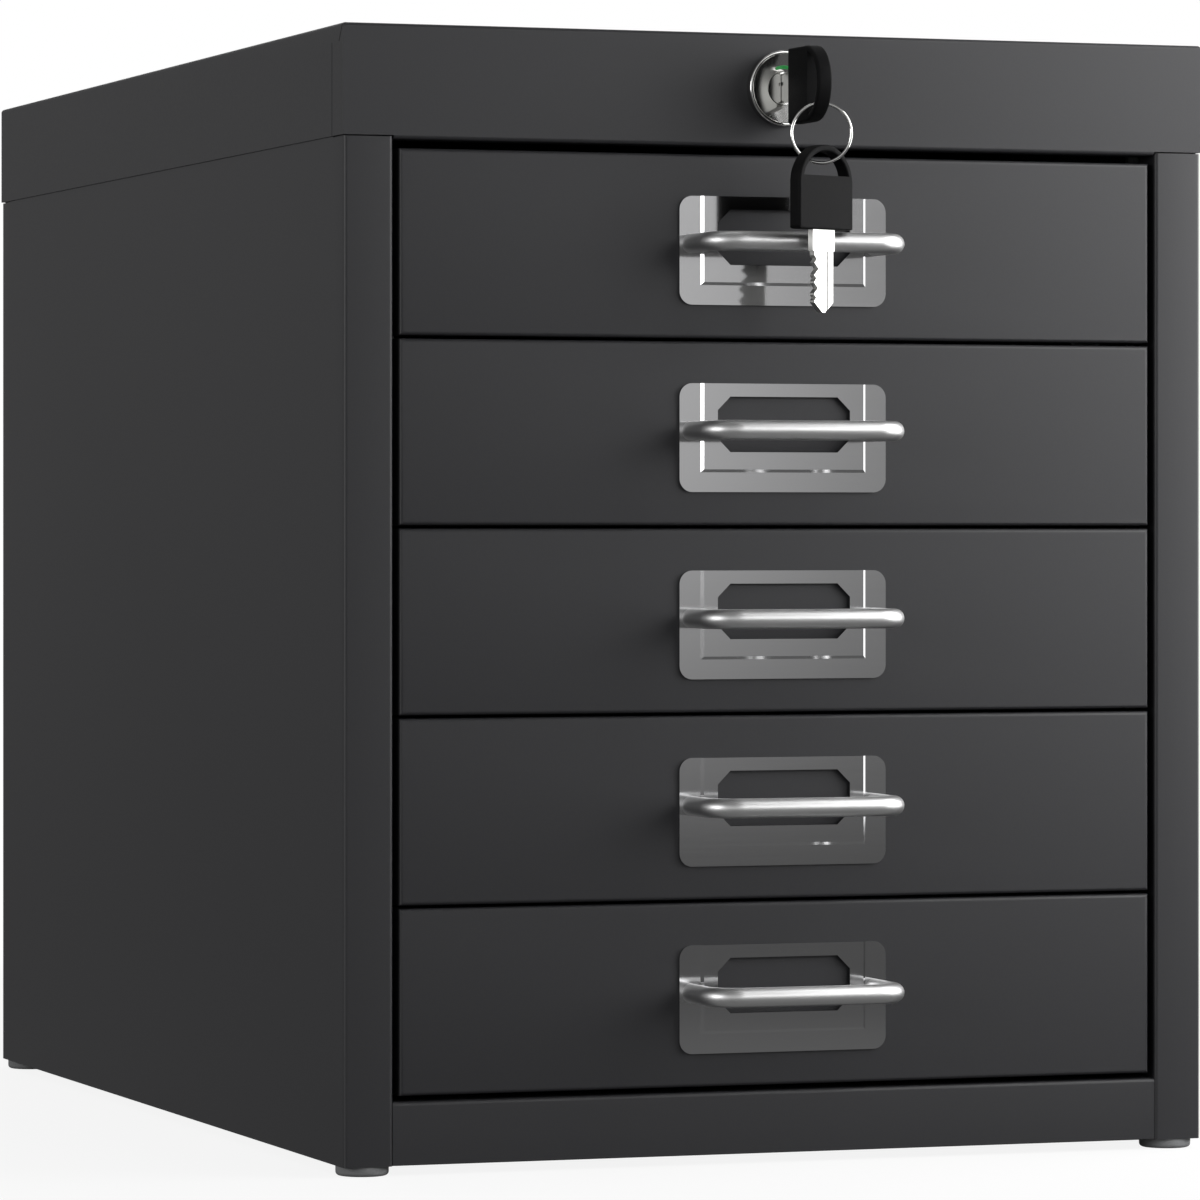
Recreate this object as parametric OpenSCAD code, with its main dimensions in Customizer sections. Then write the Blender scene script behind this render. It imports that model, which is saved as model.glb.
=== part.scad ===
// Small metal drawer cabinet: five steel drawers in a folded sheet shell, a cam lock in the lid's
// front skirt that drops a bar behind the right post, and two keys on a wire ring.
// Right is +X, the back is +Y and up is +Z. The origin is on the floor, below the middle of it all.
// Every piece is drawn with Y measured back from the front face and Z up from the shell's underside,
// and in_frame() then carries it to the origin's frame. All sizes are millimetres.

/* [Shell] */
// Outer width over the two side panels
body_w = 280; // [268:1:330]
// Depth from the front face to the back edge
body_d = 410; // [400:1:460]
// Sheet thickness of the shell
sheet_t = 1.0; // [0.8:0.1:1.1]
// Outside radius of the folds that show
fold_r = 1.2; // [1.2:0.1:1.6]
// Width of each front post
post_w = 15.4; // [15:0.1:17]
// Depth of the fold behind each post's inner edge
post_return = 12; // [8:0.5:16]
// Width of the flange at each side's back edge
rear_flange_w = 14; // [10:0.5:18]
// Height of the rail below the drawers
rail_h = 19.1; // [17:0.1:30]
// How far the rail's face lies behind the posts
rail_recess = 0.5; // [0:0.1:1]
// Depth of the rail's top flange
rail_depth = 14; // [8:0.5:16]
// Height of the base panel's side flanges
base_flange_h = 12; // [8:0.5:15]

/* [Lid] */
// Sheet thickness of the lid
lid_t = 0.8; // [0.7:0.1:1]
// Height of the lid's skirt
skirt_h = 33.4; // [32:0.1:44]
// How far the lid stands out past each side panel
lid_proud = 0.35; // [0.3:0.05:0.6]
// Depth of the fold under the front skirt
skirt_lip = 10; // [6:0.5:12]
// How far that fold hangs below the rest of the skirt, between the posts
lip_drop = 1.1; // [0.9:0.1:1.2]
// How far the front skirt's tab wraps round each corner
corner_tab = 10.8; // [8:0.1:14]
// Width of the seams pressed in the skirt
seam_w = 0.4; // [0.3:0.05:0.5]
// Depth of the hat-shaped brace under the lid
brace_d = 40; // [30:1:60]
// Height of the brace
brace_h = 15; // [10:0.5:20]

/* [Drawers] */
// Number of drawers
drawer_count = 5; // [3:1:5]
// Height of a drawer front
drawer_h = 55.8; // [53:0.1:70]
// Gap between two drawer fronts
drawer_gap = 1; // [0.8:0.1:4]
// Gap at each side of a drawer front
side_gap = 2.1; // [1.6:0.1:3]
// Gap above the top drawer
top_gap = 3.75; // [3:0.05:6]
// Gap below the bottom drawer
bottom_gap = 1.75; // [1.2:0.05:6]
// How far a drawer front lies behind the posts
face_recess = 0.3; // [0:0.1:0.8]
// Depth of the flanges round a drawer front
front_flange = 10; // [8:0.5:14]
// Sheet thickness of the trays
tray_t = 0.8; // [0.7:0.1:1]
// From the top of a drawer's front down to the top of its tray
tray_drop = 2.2; // [1.6:0.1:4]
// Space between the trays and the back edge of the shell
rear_space = 19; // [16:0.5:30]
// Height of the hem on a tray's side walls
hem_h = 6; // [4:0.5:8]
// From the front face to the stop tabs of a drawer that is pulled out to its stops
drawer_stay = 56; // [45:1:130]

/* [Runners] */
// Width of the ledge under a tray's edge
ledge_w = 9; // [6:0.5:14]
// Height of the guide beside a tray
guide_h = 6; // [5:0.5:8]
// Height of the web welded to the side panel
web_h = 15; // [10:0.5:18]
// Thickness of the runner's sheet
runner_t = 1.0; // [0.8:0.1:1.2]
// Gap below a tray on its ledge
tray_lift = 0.2; // [0.1:0.05:0.3]
// Gap between a tray and its guide
guide_gap = 0.5; // [0.4:0.05:0.8]

/* [Label plates] */
// Strip of plate outside each handle leg
plate_edge = 0.7; // [0.5:0.1:6]
// Height of a label plate
plate_h = 33; // [31:0.5:36]
// Corner radius of a label plate
plate_r = 4.1; // [2:0.1:5]
// Thickness of a label plate
plate_t = 1.0; // [0.8:0.1:1.2]
// How far the middle of a plate lies below the handle
plate_drop = 2; // [0:0.5:3]
// Depth of the card pocket
pocket_d = 0.8; // [0.6:0.1:1]
// Run of the pocket's sloped edge
pocket_slope = 0.9; // [0.7:0.1:1.2]
// Height of the border below the pocket
pocket_foot = 6; // [5:0.5:8]
// Width of the window
window_w = 43.2; // [30:0.1:45]
// Height of the window
window_h = 16.85; // [10:0.05:18]
// Size of the window's cut corners
window_cut = 4.1; // [2:0.1:6]
// Strip of plate above the window
window_top = 4; // [3:0.1:6]

/* [Handles] */
// Distance between a handle's legs
handle_span = 60; // [59:0.5:62]
// Diameter of the handle's rod
rod_d = 6; // [5:0.1:6.4]
// Distance from the plate to the middle of the bar
handle_reach = 22.5; // [20:0.5:24]
// How far a handle lies above the middle of its drawer
handle_rise = 0.7; // [0:0.1:2]
// Radius of the bends, at the middle of the rod
bend_r = 8; // [6:0.5:8]
// Diameter of the handle's screws
screw_d = 3; // [2.5:0.5:3]
// How deep a screw goes into a leg
screw_depth = 7; // [5:0.5:7]

/* [Lock] */
// Diameter of the lock's flange
flange_d = 23.2; // [22:0.1:25]
// How far the flange stands out
flange_out = 3; // [2.5:0.1:3.2]
// Width of the flange's rim
rim_w = 1.1; // [0.8:0.1:1.5]
// Diameter of the housing behind the skirt
housing_d = 19; // [17:0.5:20]
// Length of the housing behind the front face
housing_l = 20; // [19.5:0.5:22]
// Diameter of the plug
plug_d = 10; // [9.6:0.1:11]
// Width of the lock nut across its flats
nut_af = 24; // [23:0.5:26]
// Thickness of the lock nut
nut_t = 4; // [3:0.5:6]
// Angle from the unlocked mark to the locked mark
lock_turn = 90; // [80:5:90]
// Distance from the plug's middle to the cam's pin
cam_r = 8; // [7.5:0.5:9]
// Thickness of the cam
cam_t = 2; // [1.5:0.5:2.5]
// Diameter of the cam's pin
pin_d = 3; // [2.5:0.5:3.5]

/* [Locking bar] */
// Thickness of the bar
bar_t = 2; // [1.5:0.5:2.5]
// Width of the upright leg
leg_w = 10; // [8:0.5:10]
// Height of the arm
arm_h = 12; // [10:0.5:14]
// Height of a hook and of the tab that it catches
hook_h = 8; // [6:0.5:9]
// How far a tray's tab stands out
keeper_out = 3.3; // [2.5:0.1:3.4]
// Thickness of a tray's tabs
keeper_t = 2.5; // [1.5:0.5:3]

/* [Keys] */
// Width of a key's bow
bow_w = 23; // [20:0.5:25]
// Length of a key's bow
bow_l = 25.5; // [24:0.5:30]
// Thickness of a key's bow
bow_t = 4.5; // [3.5:0.1:5]
// Width of the band round the bow's hole
bow_band = 2; // [1.8:0.1:2.5]
// Height of the solid part above the middle of the arch
bow_chord = 2.2; // [1:0.1:3]
// Edge radius of the bow
bow_edge = 0.7; // [0.4:0.1:0.8]
// Thickness of the key blank
blade_t = 2; // [1.6:0.1:2.2]
// Width of the blade
blade_w = 8; // [7:0.1:8.4]
// Length of the blade past its shoulder
blade_l = 18.5; // [15:0.5:18.5]
// Width of the shoulder
shoulder_w = 9.3; // [8.6:0.1:9.6]
// Length of the shoulder
shoulder_l = 6.4; // [5:0.1:8]
// Outer diameter of the key ring
ring_d = 18.9; // [18.5:0.1:22]
// Diameter of the ring's wire
wire_d = 1.0; // [0.8:0.1:1.2]
// Turn of the ring's plane to the left of the front
ring_turn = 21.5; // [0:0.5:30]
// Turn of the hanging key's face to the right of the front
key_turn = 24; // [0:0.5:30]

/* [Feet] */
// Diameter of a foot
foot_d = 16; // [12:0.5:16.5]
// Height of a foot
foot_h = 3; // [2:0.5:8]
// Edge radius of a foot
foot_edge = 1.2; // [0.5:0.1:1.6]
// Distance from a foot's middle to the shell's outer faces
foot_inset = 8.3; // [8.3:0.1:14]

/* [Hidden] */
$fn = 48;
eps = 0.01; // what a cut runs past the face it opens
weld_gap = 0.1; // between sheets that a spot weld draws together
seat_gap = 0.3; // between pieces that pass each other
fit_gap = 0.03; // radial clearance of a part that turns
bore_gap = 0.05; // radial clearance of a part that only sits in its bore
hex = 6; // sides of a nut
foot_stud_d = 4; // what holds a foot in the base panel

drawers = [1:drawer_count];
pitch = drawer_h + drawer_gap;
stack_h = drawer_count * drawer_h + (drawer_count - 1) * drawer_gap;
body_h = rail_h + bottom_gap + stack_h + top_gap + skirt_h;
skirt_z = body_h - skirt_h;
half_w = body_w / 2;
opening_half = half_w - post_w;
side_top = skirt_z - seam_w;
front_w = 2 * (opening_half - side_gap);

// The lid's tongues are the side panels' upper edges, set in behind the skirt.
tongue_x = half_w + lid_proud - lid_t - 1.5 * weld_gap;
tongue_in = tongue_x - sheet_t;
tongue_top = body_h - 3;
tongue_lap = 11;

// Trays
tray_gap = 0.5; // between a tray and the flanges of its front
tray_w = front_w - 2 * (sheet_t + tray_gap);
tray_half = tray_w / 2;
tray_y = face_recess + sheet_t;
tray_l = body_d - rear_space - tray_y;
tray_end = tray_y + tray_l;
tray_rise = sheet_t + 0.2; // from the front's lower edge to the tray's floor
tray_h = drawer_h - tray_rise - tray_drop;
tray_fold_r = 1.0;
tab_z = guide_h + 1; // stop tabs, above a tray's floor
tab_h = 8;
tab_t = 2;
tab_out = 5;
tab_y = tray_end - 5; // front face of the stop tabs
stop_gap = 0.5;
stop_h = 7; // runner stops, above the shelf
stop_t = 2;

// Label plates: the handle's legs stand on the border, just clear of the raised pocket
plate_w = handle_span + rod_d + 2 * plate_edge;
pocket_half = (handle_span - rod_d) / 2 - pocket_slope - bore_gap;

// Lock and locking bar, from the front face backwards
lock_z = skirt_z + skirt_h / 2;
bore_step = 4; // length of the narrow bore at the housing's rear
plug_face = 1.5; // how far the plug's face lies in front of the skirt
dish_floor = 1.2;
plug_tail = 6; // across the square that turns the cam
cam_y = housing_l + 0.2;
pin_start = lock_turn / 2; // the pin's angle above the middle, unlocked
pin_x = cam_r * cos(pin_start);
pin_z = cam_r * sin(pin_start);
cam_screw_d = 4;
cam_head_h = 2;
cam_head_d = 7;
bar_y = cam_y + cam_t + cam_head_h + 1;
keeper_y = bar_y + bar_t + 1;
keeper_z = 22; // above a tray's floor
hook_z = keeper_z + hook_h + 1; // unlocked, above a tray's floor
hook_x = tray_half + seat_gap;
leg_x = half_w - sheet_t - 2 - leg_w;
slot_gap = 0.4;
arm_x = 0.5;
guide_lip = 7; // depth of a bar guide's lips
guide_len = 12;
runner_y = keeper_y + keeper_t + 6;
runner_end = tab_y + tab_t + stop_gap + stop_t + 3;

// Keys, from the front face outwards
key_rest = 3.6; // from the front face to the end of the shoulder
bow_r = bow_w / 2;
bow_foot = bow_l - bow_r; // from the middle of the arch to the bow's lower edge
key_out = key_rest + shoulder_l + bow_foot;
tang_l = 8;
ring_r = (ring_d - wire_d) / 2;
ring_side = 1.0; // the ring's middle, right of the lock's
ring_along = 5.5; // from the middle of the first key's arch to the ring, outwards
ring_y = -(key_out + ring_along);
inner_r = bow_r - bow_band;
ring_rest = 1.45; // what the band's slope and the wire's thickness lift the ring
ring_z = lock_z - sqrt(inner_r * inner_r - ring_along * ring_along) - ring_r + ring_rest;
key_2_lift = 2.9; // the hanging key rides up on the curve of the wire
key_2_z = ring_z - ring_r + wire_d / 2 - inner_r + key_2_lift;
bow_corner_out = (bow_r - bow_edge) * sin(key_turn) + (bow_t / 2 - bow_edge) * cos(key_turn) + bow_edge;
front_reach = max(key_out + bow_r, bow_corner_out - ring_y);
front_y = (front_reach - body_d) / 2;

paint = "#3d3d3f";
paint_dark = "#343436";
zinc = "#8d9092";
nickel = "#a7a8a6";
steel = "#b9bbbc";
black = "#1b1b1c";
grey = "#7c7d7e";

function drawer_z(n) = rail_h + bottom_gap + (drawer_count - n) * pitch;
function tray_z(n) = drawer_z(n) + tray_rise;
function handle_z(n) = drawer_z(n) + drawer_h / 2 + handle_rise;

// ---- Shared shapes ----

module in_frame() translate([0, front_y, foot_h]) children();

// Local Z points out of the front face, and local Y up
module outward(x = 0, y = 0, z = 0) translate([x, y, z]) rotate([90, 0, 0]) children();

module block(low, high) translate(low) cube(high - low);

// Two sheet legs along X and Y from a folded corner at the origin
module folded_angle(a, b, t, r) {
    difference() {
        union() {
            translate([r, 0]) square([a - r, b]);
            translate([0, r]) square([a, b - r]);
            translate([r, r]) circle(r);
        }
        translate([t, t]) square([a, b]);
    }
}

// A rectangle centred on X from Y = 0, with its two corners there rounded
module folded_edge(w, d, r) {
    translate([-w / 2, r]) square([w, d - r]);
    translate([r - w / 2, 0]) square([w - 2 * r, d]);
    for (side = [-1, 1]) translate([side * (w / 2 - r), r]) circle(r);
}

module pan_solid(w, h, d, r) {
    intersection() {
        translate([0, 0, -h / 2]) linear_extrude(h) folded_edge(w, d, r);
        rotate([0, 90, 0]) translate([0, 0, -w / 2]) linear_extrude(w) folded_edge(h, d, r);
    }
}

// A folded sheet pan: its face in the plane Y = 0, its four flanges running back to Y = d
module pan(w, h, d, t, r) {
    difference() {
        pan_solid(w, h, d, r);
        translate([0, t, 0]) pan_solid(w - 2 * t, h - 2 * t, d, max(r - t, 0.2));
    }
}

module rounded_rect(w, h, r) {
    square([w - 2 * r, h], center = true);
    square([w, h - 2 * r], center = true);
    for (x = [-1, 1], y = [-1, 1]) translate([x * (w / 2 - r), y * (h / 2 - r)]) circle(r);
}

module mirrored(left) {
    if (left) mirror([1, 0, 0]) children();
    else children();
}

// ---- Shell ----

module lid() {
    lid_w = body_w + 2 * lid_proud;
    lip_half = opening_half - seat_gap;
    color(paint) difference() {
        union() {
            translate([0, body_d / 2, body_h]) rotate([-90, 0, 0]) pan(lid_w, body_d, skirt_h, lid_t, fold_r);
            translate([lip_half, 0, skirt_z - lip_drop]) rotate([0, -90, 0])
                linear_extrude(2 * lip_half) folded_angle(2 * fold_r, skirt_lip, lid_t, fold_r);
        }
        at_lock() translate([0, 0, -lid_t - 1]) cylinder(d = housing_d + 2 * bore_gap, h = lid_t + 2);
        for (side = [-1, 1]) corner_seam(side * lid_w / 2);
    }
}

// The edge of the tab that folds round a front corner, and its notch up to the corner
module corner_seam(x) {
    depth = 0.3;
    notch_h = 5.5;
    notch_y = 3.8;
    translate([x, corner_tab, skirt_z - eps])
        translate([-depth, -seam_w / 2, 0]) cube([2 * depth, seam_w, skirt_h - notch_h]);
    translate([x, 0, body_h]) rotate([180 + atan2(notch_y, notch_h), 0, 0])
        translate([-depth, -seam_w / 2, 0]) cube([2 * depth, seam_w, norm([notch_h, notch_y])]);
}

module side_panel() {
    flat_d = body_d - 2 * post_return;
    difference() {
        linear_extrude(side_top) {
            translate([half_w, 0]) mirror([1, 0]) folded_angle(post_w - fold_r, post_return, sheet_t, fold_r);
            translate([opening_half, 0]) folded_angle(post_w - fold_r, post_return, sheet_t, fold_r);
            translate([half_w - sheet_t, post_return - eps]) square([sheet_t, flat_d + 2 * eps]);
            translate([half_w, body_d]) rotate(180) folded_angle(rear_flange_w, post_return, sheet_t, fold_r);
        }
        // the base panel passes below the post's inner fold
        block([opening_half - eps, sheet_t, -eps],
            [half_w - 2 * fold_r, post_return + 1, sheet_t + weld_gap]);
    }
    // between the corners the panel closes up to the skirt
    block([half_w - sheet_t, corner_tab, side_top - eps],
        [half_w, body_d - corner_tab, skirt_z - weld_gap]);
    block([tongue_in, 2, side_top - tongue_lap], [half_w - sheet_t + eps, body_d - 2, side_top - eps]);
    block([tongue_in, 2, side_top - 2 * seam_w], [tongue_x, body_d - 2, tongue_top]);
}

module left_side() color(paint) mirrored(true) side_panel();

module right_side() color(paint) mirrored(false) side_panel();

module back_panel() {
    half = tongue_in - weld_gap;
    y = body_d - sheet_t;
    color(paint) block([-half, y - lid_t, sheet_t + weld_gap], [half, y, tongue_top]);
}

module base_panel() {
    half = half_w - sheet_t;
    front = rail_recess + sheet_t + weld_gap;
    back = body_d - sheet_t - lid_t - weld_gap;
    color(paint_dark) difference() {
        union() {
            block([-half, front, 0], [half, back, sheet_t]);
            for (side = [-1, 1]) {
                block([side > 0 ? half - sheet_t : -half, post_return + 2, 0],
                    [side > 0 ? half : sheet_t - half, back - 2, base_flange_h]);
            }
        }
        at_feet() translate([0, 0, -1]) cylinder(d = foot_stud_d + 2 * bore_gap, h = sheet_t + 2);
    }
}

module front_rail() {
    color(paint) {
        translate([-opening_half, rail_recess, rail_h]) rotate([0, 90, 0])
            linear_extrude(2 * opening_half) folded_angle(rail_h - seat_gap, rail_depth, sheet_t, fold_r);
        for (side = [-1, 1]) {
            x = side * (opening_half - sheet_t / 2);
            block([x - sheet_t / 2, rail_recess + sheet_t / 2, sheet_t + seat_gap],
                [x + sheet_t / 2, post_return, rail_h - sheet_t / 2]);
        }
    }
}

module top_brace() {
    y = body_d / 2;
    top = body_h - lid_t;
    color(paint_dark) translate([-tongue_in, 0, 0]) {
        block([0, y - brace_d / 2, top - sheet_t], [2 * tongue_in, y + brace_d / 2, top]);
        for (edge = [y - brace_d / 2, y + brace_d / 2 - sheet_t])
            block([0, edge, top - brace_h], [2 * tongue_in, edge + sheet_t, top]);
    }
}

// ---- Feet ----

module at_feet() {
    for (x = [-1, 1], y = [foot_inset, body_d - foot_inset])
        translate([x * (half_w - foot_inset), y, 0]) children();
}

module foot(x, y) {
    r = foot_d / 2;
    head_h = 1.5;
    color(grey) translate([x * (half_w - foot_inset), y, 0]) {
        rotate_extrude() {
            translate([0, -foot_h]) square([r - foot_edge, foot_h]);
            translate([0, foot_edge - foot_h]) square([r, foot_h - foot_edge]);
            translate([r - foot_edge, foot_edge - foot_h]) circle(foot_edge);
        }
        cylinder(d = foot_stud_d, h = sheet_t + head_h);
        translate([0, 0, sheet_t]) cylinder(d = foot_stud_d + 1, h = head_h);
    }
}

// ---- Runners ----

// A pressed strip: a ledge below the tray's edge, a guide beside it, a shelf and a welded web
module runner(n, left) {
    z = tray_z(n);
    guide_x = tray_half + guide_gap;
    wall_x = half_w - sheet_t;
    shelf_z = z + guide_h;
    lug_x = tray_half + 2;
    low_z = z - tray_lift - runner_t;
    color(zinc) mirrored(left) {
        block([guide_x - ledge_w, runner_y, low_z],
            [guide_x + runner_t, runner_end, low_z + runner_t]);
        block([guide_x, runner_y, low_z], [guide_x + runner_t, runner_end, shelf_z]);
        block([guide_x, runner_y, shelf_z - runner_t], [wall_x, runner_end, shelf_z]);
        block([wall_x - runner_t, runner_y, shelf_z - runner_t], [wall_x, runner_end, shelf_z + web_h]);
        for (y = [drawer_stay - stop_gap - stop_t, tab_y + tab_t + stop_gap])
            block([lug_x, y, shelf_z - runner_t], [lug_x + tab_out - 1, y + stop_t, shelf_z + stop_h]);
    }
}

// ---- Drawers ----

module at_handle_screws(n) {
    for (side = [-1, 1])
        outward(side * handle_span / 2, face_recess, handle_z(n)) children();
}

module drawer_front(n) {
    color(paint) difference() {
        translate([0, face_recess, drawer_z(n) + drawer_h / 2])
            pan(front_w, drawer_h, front_flange, sheet_t, fold_r);
        at_handle_screws(n) translate([0, 0, -sheet_t - 1])
            cylinder(d = screw_d + 2 * bore_gap, h = sheet_t + 2);
    }
}

module drawer_tray(n) {
    z = tray_z(n);
    color(paint_dark) difference() {
        union() {
            translate([0, tray_y + tray_l / 2, z]) rotate([90, 0, 0])
                pan(tray_w, tray_l, tray_h, tray_t, tray_fold_r);
            for (side = [-1, 1]) {
                x = side * (tray_half - tray_t);
                block([x - tray_t, tray_y + tray_t / 2, z + tray_h - hem_h],
                    [x + tray_t, tray_end - tray_t / 2, z + tray_h]);
                stop_x = side * (tray_half + tab_out / 2 - tray_t / 4);
                block([stop_x - tab_out / 2 - tray_t / 4, tab_y, z + tab_z],
                    [stop_x + tab_out / 2 + tray_t / 4, tab_y + tab_t, z + tab_z + tab_h]);
            }
            block([tray_half - tray_t / 2, keeper_y, z + keeper_z],
                [tray_half + keeper_out, keeper_y + keeper_t, z + keeper_z + hook_h]);
        }
        at_handle_screws(n) translate([0, 0, -sheet_t - tray_t - 1])
            cylinder(d = screw_d + 2 * bore_gap, h = tray_t + 2);
    }
}

// A flat border round a raised card pocket that is open at the top, with a window cut through it
module label_plate(n) {
    mid_z = handle_z(n) - plate_drop;
    foot_z = pocket_foot - plate_h / 2;
    window_z = plate_h / 2 - window_top - window_h / 2;
    color(nickel) difference() {
        outward(0, face_recess, mid_z) {
            difference() {
                union() {
                    linear_extrude(plate_t) rounded_rect(plate_w, plate_h, plate_r);
                    pocket_form(pocket_half + pocket_slope, foot_z, plate_h / 2, plate_t / 2,
                        plate_t + pocket_d);
                }
                pocket_form(pocket_half, foot_z + pocket_slope, plate_h / 2 + 1, -plate_t, pocket_d);
                translate([0, window_z, 0]) linear_extrude(3 * plate_t) intersection() {
                    square([window_w, window_h], center = true);
                    rotate(45) square((window_w + window_h - 2 * window_cut) / sqrt(2), center = true);
                }
            }
        }
        at_handle_screws(n) translate([0, 0, -1]) cylinder(d = screw_d + 2 * bore_gap, h = plate_t + 2);
    }
}

// A low block from local Z = low to high whose sides and foot slope inwards over its upper part
module pocket_form(half, foot, top, low, high) {
    s = pocket_slope;
    slope_z = high - pocket_d;
    intersection() {
        translate([0, top, 0]) rotate([90, 0, 0]) linear_extrude(top - foot)
            polygon([[-half, low], [half, low], [half, slope_z], [half - s, high], [s - half, high],
                [-half, slope_z]]);
        rotate([0, 90, 0]) rotate([0, 0, 90]) translate([0, 0, -half]) linear_extrude(2 * half)
            polygon([[foot, low], [top, low], [top, high], [foot + s, high], [foot, slope_z]]);
    }
}

// A bent rod on the plate's borders, with a screw up each leg
module handle(n) {
    half = handle_span / 2;
    base = plate_t;
    rod_r = rod_d / 2;
    color(steel) difference() {
        outward(0, face_recess, handle_z(n)) {
            for (left = [true, false]) mirrored(left) {
                translate([half, 0, base]) cylinder(d = rod_d, h = handle_reach - bend_r);
                translate([half - bend_r, 0, base + handle_reach - bend_r]) rotate([90, 0, 0])
                    rotate_extrude(angle = 90) translate([bend_r, 0]) circle(rod_r);
            }
            translate([bend_r - half, 0, base + handle_reach]) rotate([0, 90, 0])
                cylinder(d = rod_d, h = handle_span - 2 * bend_r);
        }
        at_handle_screws(n) translate([0, 0, base - 1])
            cylinder(d = screw_d + 2 * bore_gap, h = screw_depth + 1.5);
    }
}

module handle_screws(n) {
    under = -sheet_t - tray_t;
    head_h = 1.8;
    color(steel) at_handle_screws(n) {
        translate([0, 0, under]) cylinder(d = screw_d, h = plate_t + screw_depth - under);
        difference() {
            translate([0, 0, under - head_h]) cylinder(d = 2 * screw_d, h = head_h);
            translate([0, 0, under - head_h - 1]) cylinder(d = 0.8 * screw_d, h = 2, $fn = hex);
        }
    }
}

// ---- Lock ----

module at_lock() outward(0, 0, lock_z) children();

module lock_housing() {
    r = flange_d / 2;
    bore_r = plug_d / 2 + fit_gap;
    narrow_r = bore_r - 1;
    color(steel) at_lock() rotate_extrude() polygon([
        [bore_r, bore_step - housing_l], [bore_r, dish_floor], [r - rim_w, flange_out - 0.8],
        [r - rim_w, flange_out], [r - 0.4, flange_out], [r, flange_out - 0.4], [r, 0],
        [housing_d / 2, 0], [housing_d / 2, -housing_l], [narrow_r, -housing_l],
        [narrow_r, bore_step - housing_l]
    ]);
}

module lock_nut() {
    color(zinc) at_lock() translate([0, 0, -lid_t - nut_t]) difference() {
        cylinder(d = nut_af / cos(180 / hex), h = nut_t, $fn = hex);
        translate([0, 0, -1]) cylinder(d = housing_d + 2 * bore_gap, h = nut_t + 2);
    }
}

module lock_plug() {
    slot_w = blade_t + 0.3;
    slot_h = blade_w + 0.6;
    slot_l = plug_face - key_rest + blade_l + 0.6;
    tail_l = cam_t + 0.2;
    color(steel) at_lock() difference() {
        union() {
            translate([0, 0, bore_step - housing_l + bore_gap])
                cylinder(d = plug_d, h = housing_l - bore_step + plug_face - bore_gap);
            translate([0, 0, -housing_l - 0.1]) cylinder(d = plug_d - 2, h = bore_step + 1);
            translate([-plug_tail / 2, -plug_tail / 2, -housing_l - tail_l])
                cube([plug_tail, plug_tail, tail_l]);
        }
        translate([-slot_w / 2, -slot_h / 2, plug_face - slot_l]) cube([slot_w, slot_h, slot_l + 1]);
        translate([0, 0, -housing_l - tail_l - 1])
            cylinder(d = cam_screw_d + 2 * bore_gap, h = tail_l + bore_step);
    }
}

// Turns with the plug; its pin moves the bar
module lock_cam() {
    hole = plug_tail + 2 * bore_gap;
    pin_l = bar_y + bar_t + 0.6 - cam_y;
    color(zinc) at_lock() translate([0, 0, -cam_y - cam_t]) difference() {
        union() {
            cylinder(d = plug_tail + 8, h = cam_t);
            rotate(pin_start) translate([0, -pin_d, 0]) cube([cam_r, 2 * pin_d, cam_t]);
            translate([pin_x, pin_z, 0]) cylinder(d = 2 * pin_d, h = cam_t);
            translate([pin_x, pin_z, cam_t - pin_l]) cylinder(d = pin_d, h = pin_l);
        }
        translate([-hole / 2, -hole / 2, -1]) cube([hole, hole, cam_t + 2]);
    }
}

module cam_screw() {
    shank = cam_t + 2;
    color(steel) at_lock() translate([0, 0, -cam_y - cam_t]) {
        cylinder(d = cam_screw_d, h = shank);
        difference() {
            translate([0, 0, -cam_head_h]) cylinder(d = cam_head_d + 0.6, h = cam_head_h);
            translate([0, 0, -cam_head_h - 1]) cylinder(d = 3, h = 2, $fn = hex);
        }
    }
}

// One flat blank: an arm behind the lock, a leg behind the right post and a hook for each drawer
module lock_bar() {
    pin_line = lock_z + pin_z;
    low = tray_z(drawer_count) + hook_z - 4;
    slot_half = pin_d / 2 + slot_gap;
    color(zinc) difference() {
        union() {
            block([arm_x, bar_y, pin_line - arm_h / 2], [leg_x + leg_w, bar_y + bar_t, pin_line + arm_h / 2]);
            block([leg_x, bar_y, low], [leg_x + leg_w, bar_y + bar_t, pin_line + arm_h / 2]);
            for (n = drawers) {
                z = tray_z(n) + hook_z;
                block([hook_x, bar_y, z], [leg_x + eps, bar_y + bar_t, z + hook_h]);
            }
        }
        block([pin_x - slot_half, bar_y - 1, pin_line - slot_half],
            [cam_r + slot_half, bar_y + bar_t + 1, pin_line + slot_half]);
    }
}

// Channels on the right side panel that hold the leg in line
module bar_guides() {
    wall_x = half_w - sheet_t;
    back_x = leg_x + leg_w + seat_gap;
    lip_t = 1.5;
    color(zinc) for (n = [2, drawer_count - 1]) {
        z = tray_z(n) + drawer_h / 2;
        front = bar_y - seat_gap;
        rear = bar_y + bar_t + seat_gap;
        block([back_x, front - lip_t, z], [wall_x, rear + lip_t, z + guide_len]);
        block([back_x - guide_lip, front - lip_t, z], [wall_x, front, z + guide_len]);
        block([back_x - guide_lip, rear, z], [wall_x, rear + lip_t, z + guide_len]);
    }
}

// ---- Keys ----

// Local Z runs up the key with the middle of its arch at 0, and local Y is its thickness
module at_key_1() at_lock() translate([0, 0, key_out]) rotate([0, 0, 90]) children();

module at_key_2() translate([ring_side, ring_y, key_2_z]) rotate([0, 0, key_turn]) children();

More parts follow.
